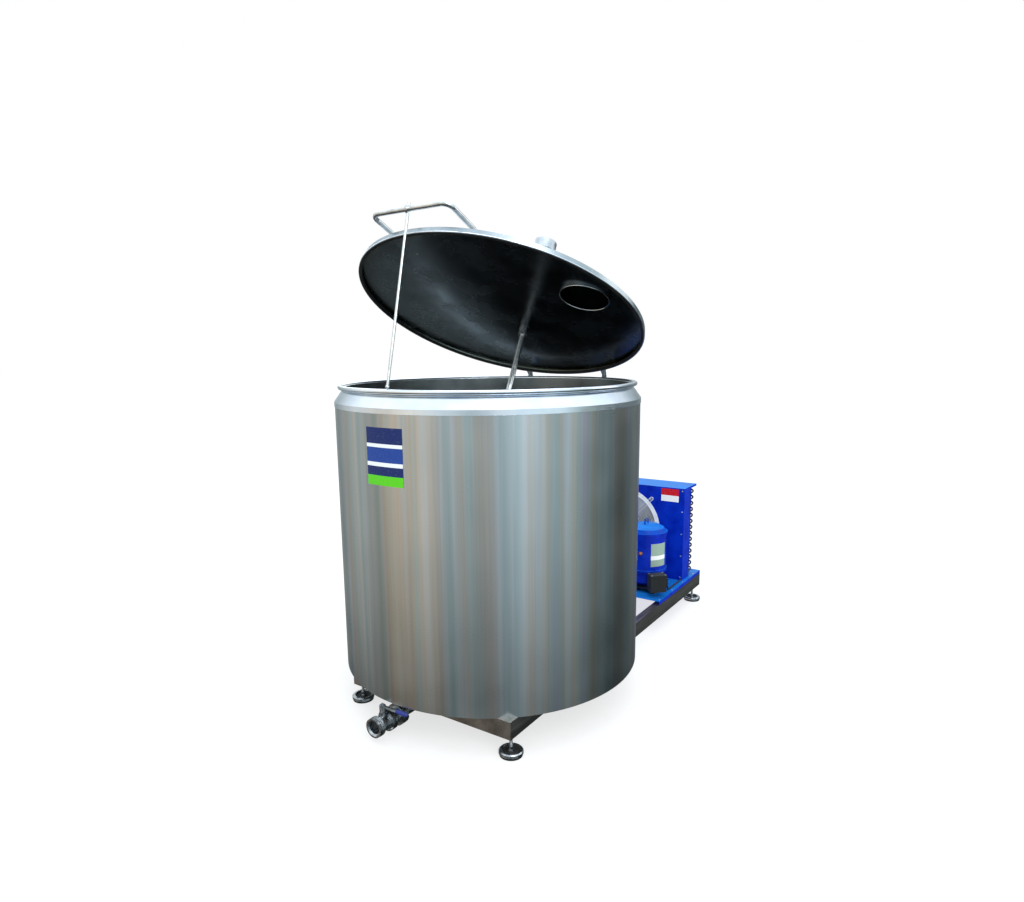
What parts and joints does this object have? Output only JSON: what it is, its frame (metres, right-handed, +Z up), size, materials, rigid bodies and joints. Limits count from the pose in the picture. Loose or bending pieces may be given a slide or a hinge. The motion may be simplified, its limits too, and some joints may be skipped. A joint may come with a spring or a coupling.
{
  "type": "bulk milk tank",
  "caption": "Round insulated stainless milk cooling tank with a propped hinged lid, agitator, outlet valve, floor frame and attached condensing unit.",
  "frame": {"origin": "middle of the floor rectangle under the whole object, on the floor", "axes": "+X along the frame from the tank's outlet to the condensing unit, +Z up; the lid's hinge axis is parallel to Y"},
  "size_m": [2.266, 1.304, 2.0256],
  "materials": {
    "jacket_steel": "vertical brushed stainless sheet",
    "polished_steel": "smooth 2B stainless sheet",
    "frame_steel": "dull mill finish stainless box section",
    "fitting_steel": "machined and polished stainless",
    "tube_steel": "satin stainless tube and rod",
    "foam": "rigid polyurethane foam",
    "black_rubber": "matt black rubber",
    "black_plastic": "moulded black plastic",
    "black_paint": "black paint",
    "blue_grip": "dipped blue plastic",
    "unit_blue": "glossy vivid blue powder coat",
    "drier_paint": "olive paint",
    "fin_pack": "aluminium fins, stood for by a block",
    "copper": "copper tube",
    "guard_wire": "light zinc plated wire",
    "cast_aluminium": "cast aluminium, satin",
    "cast_iron": "bare iron and windings",
    "plate_print": "blank printed plate in navy and green",
    "label_print": "blank printed labels"
  },
  "bodies": {
    "tank": {"outer_jacket": "jacket_steel", "jacket_floor": "polished_steel", "shoulder_ring": "polished_steel", "rim_bead": "polished_steel", "inner_vessel": "polished_steel", "evaporator_plate": "polished_steel", "insulation_foam": "foam", "side_rails": "frame_steel", "cross_rails": "frame_steel", "foot_studs": "fitting_steel", "foot_nuts": "fitting_steel", "foot_plates": "fitting_steel", "foot_pads": "black_rubber", "outlet_pipe": "fitting_steel", "outlet_nut": "fitting_steel", "valve_body": "fitting_steel", "valve_gasket": "black_rubber", "valve_bolts": "fitting_steel", "outlet_end": "fitting_steel", "hinge_brackets": "fitting_steel", "hinge_pins": "fitting_steel", "name_plate": "plate_print", "unit_tray": "unit_blue", "condenser_shroud": "unit_blue", "condenser_fins": "fin_pack", "condenser_tubes": "copper", "condenser_bends": "copper", "fan_ring": "guard_wire", "fan_guard": "guard_wire", "fan_motor": "black_paint", "compressor_shell": "unit_blue", "compressor_core": "cast_iron", "compressor_base": "black_paint", "compressor_mounts": "black_rubber", "terminal_box": "black_plastic", "terminal_cable": "black_rubber", "liquid_receiver": "unit_blue", "filter_drier": "drier_paint", "suction_line": "copper", "liquid_line": "copper", "gas_lines": "copper", "unit_bolts": "fitting_steel", "unit_labels": "label_print"},
    "lid": {"lid_skin": "polished_steel", "lid_seal": "black_rubber", "hinge_arms": "fitting_steel", "handle": "tube_steel", "hatch_neck": "polished_steel", "hatch_pin": "fitting_steel", "agitator_flange": "fitting_steel", "agitator_gearbox": "cast_aluminium", "agitator_motor": "cast_aluminium"},
    "prop": {"prop_rod": "tube_steel"},
    "hatch": {"hatch_cover": "polished_steel"},
    "agitator": {"agitator_shaft": "fitting_steel", "agitator_paddle": "fitting_steel"},
    "fan": {"fan_blades": "cast_aluminium"},
    "valve": {"valve_disc": "fitting_steel", "valve_lever": "fitting_steel", "lever_grip": "blue_grip"}
  },
  "joints": [
    {"name": "lid_hinge", "type": "hinge", "parent": "tank", "child": "lid", "pos_m": [0.249, 0, 1.285], "axis": [0, 1, 0], "range_deg": [-25.8, 0]},
    {"name": "prop_swing", "type": "hinge", "parent": "lid", "child": "prop", "pos_m": [-0.89333, 0, 2.00195], "axis": [0, 1, 0], "range_deg": [0, 284.42]},
    {"name": "hatch_hinge", "type": "hinge", "parent": "lid", "child": "hatch", "pos_m": [-0.23933, -0.438, 1.66261], "axis": [0, 1, 0], "range_deg": [0, 95]},
    {"name": "agitator_spin", "type": "hinge", "parent": "lid", "child": "agitator", "pos_m": [-0.13554, 0, 1.55564], "axis": [0.4352, 0, 0.9003], "continuous": true},
    {"name": "fan_spin", "type": "hinge", "parent": "tank", "child": "fan", "pos_m": [0.905, -0.05, 0.447], "axis": [1, 0, 0], "continuous": true},
    {"name": "valve_turn", "type": "hinge", "parent": "tank", "child": "valve", "pos_m": [-1.079, 0.054, 0.062], "axis": [0, 0, 1], "range_deg": [0, 90]}
  ],
  "couplings": [
    {"joint": "prop_swing", "follows": "lid_hinge", "ratio": -11.005}
  ]
}
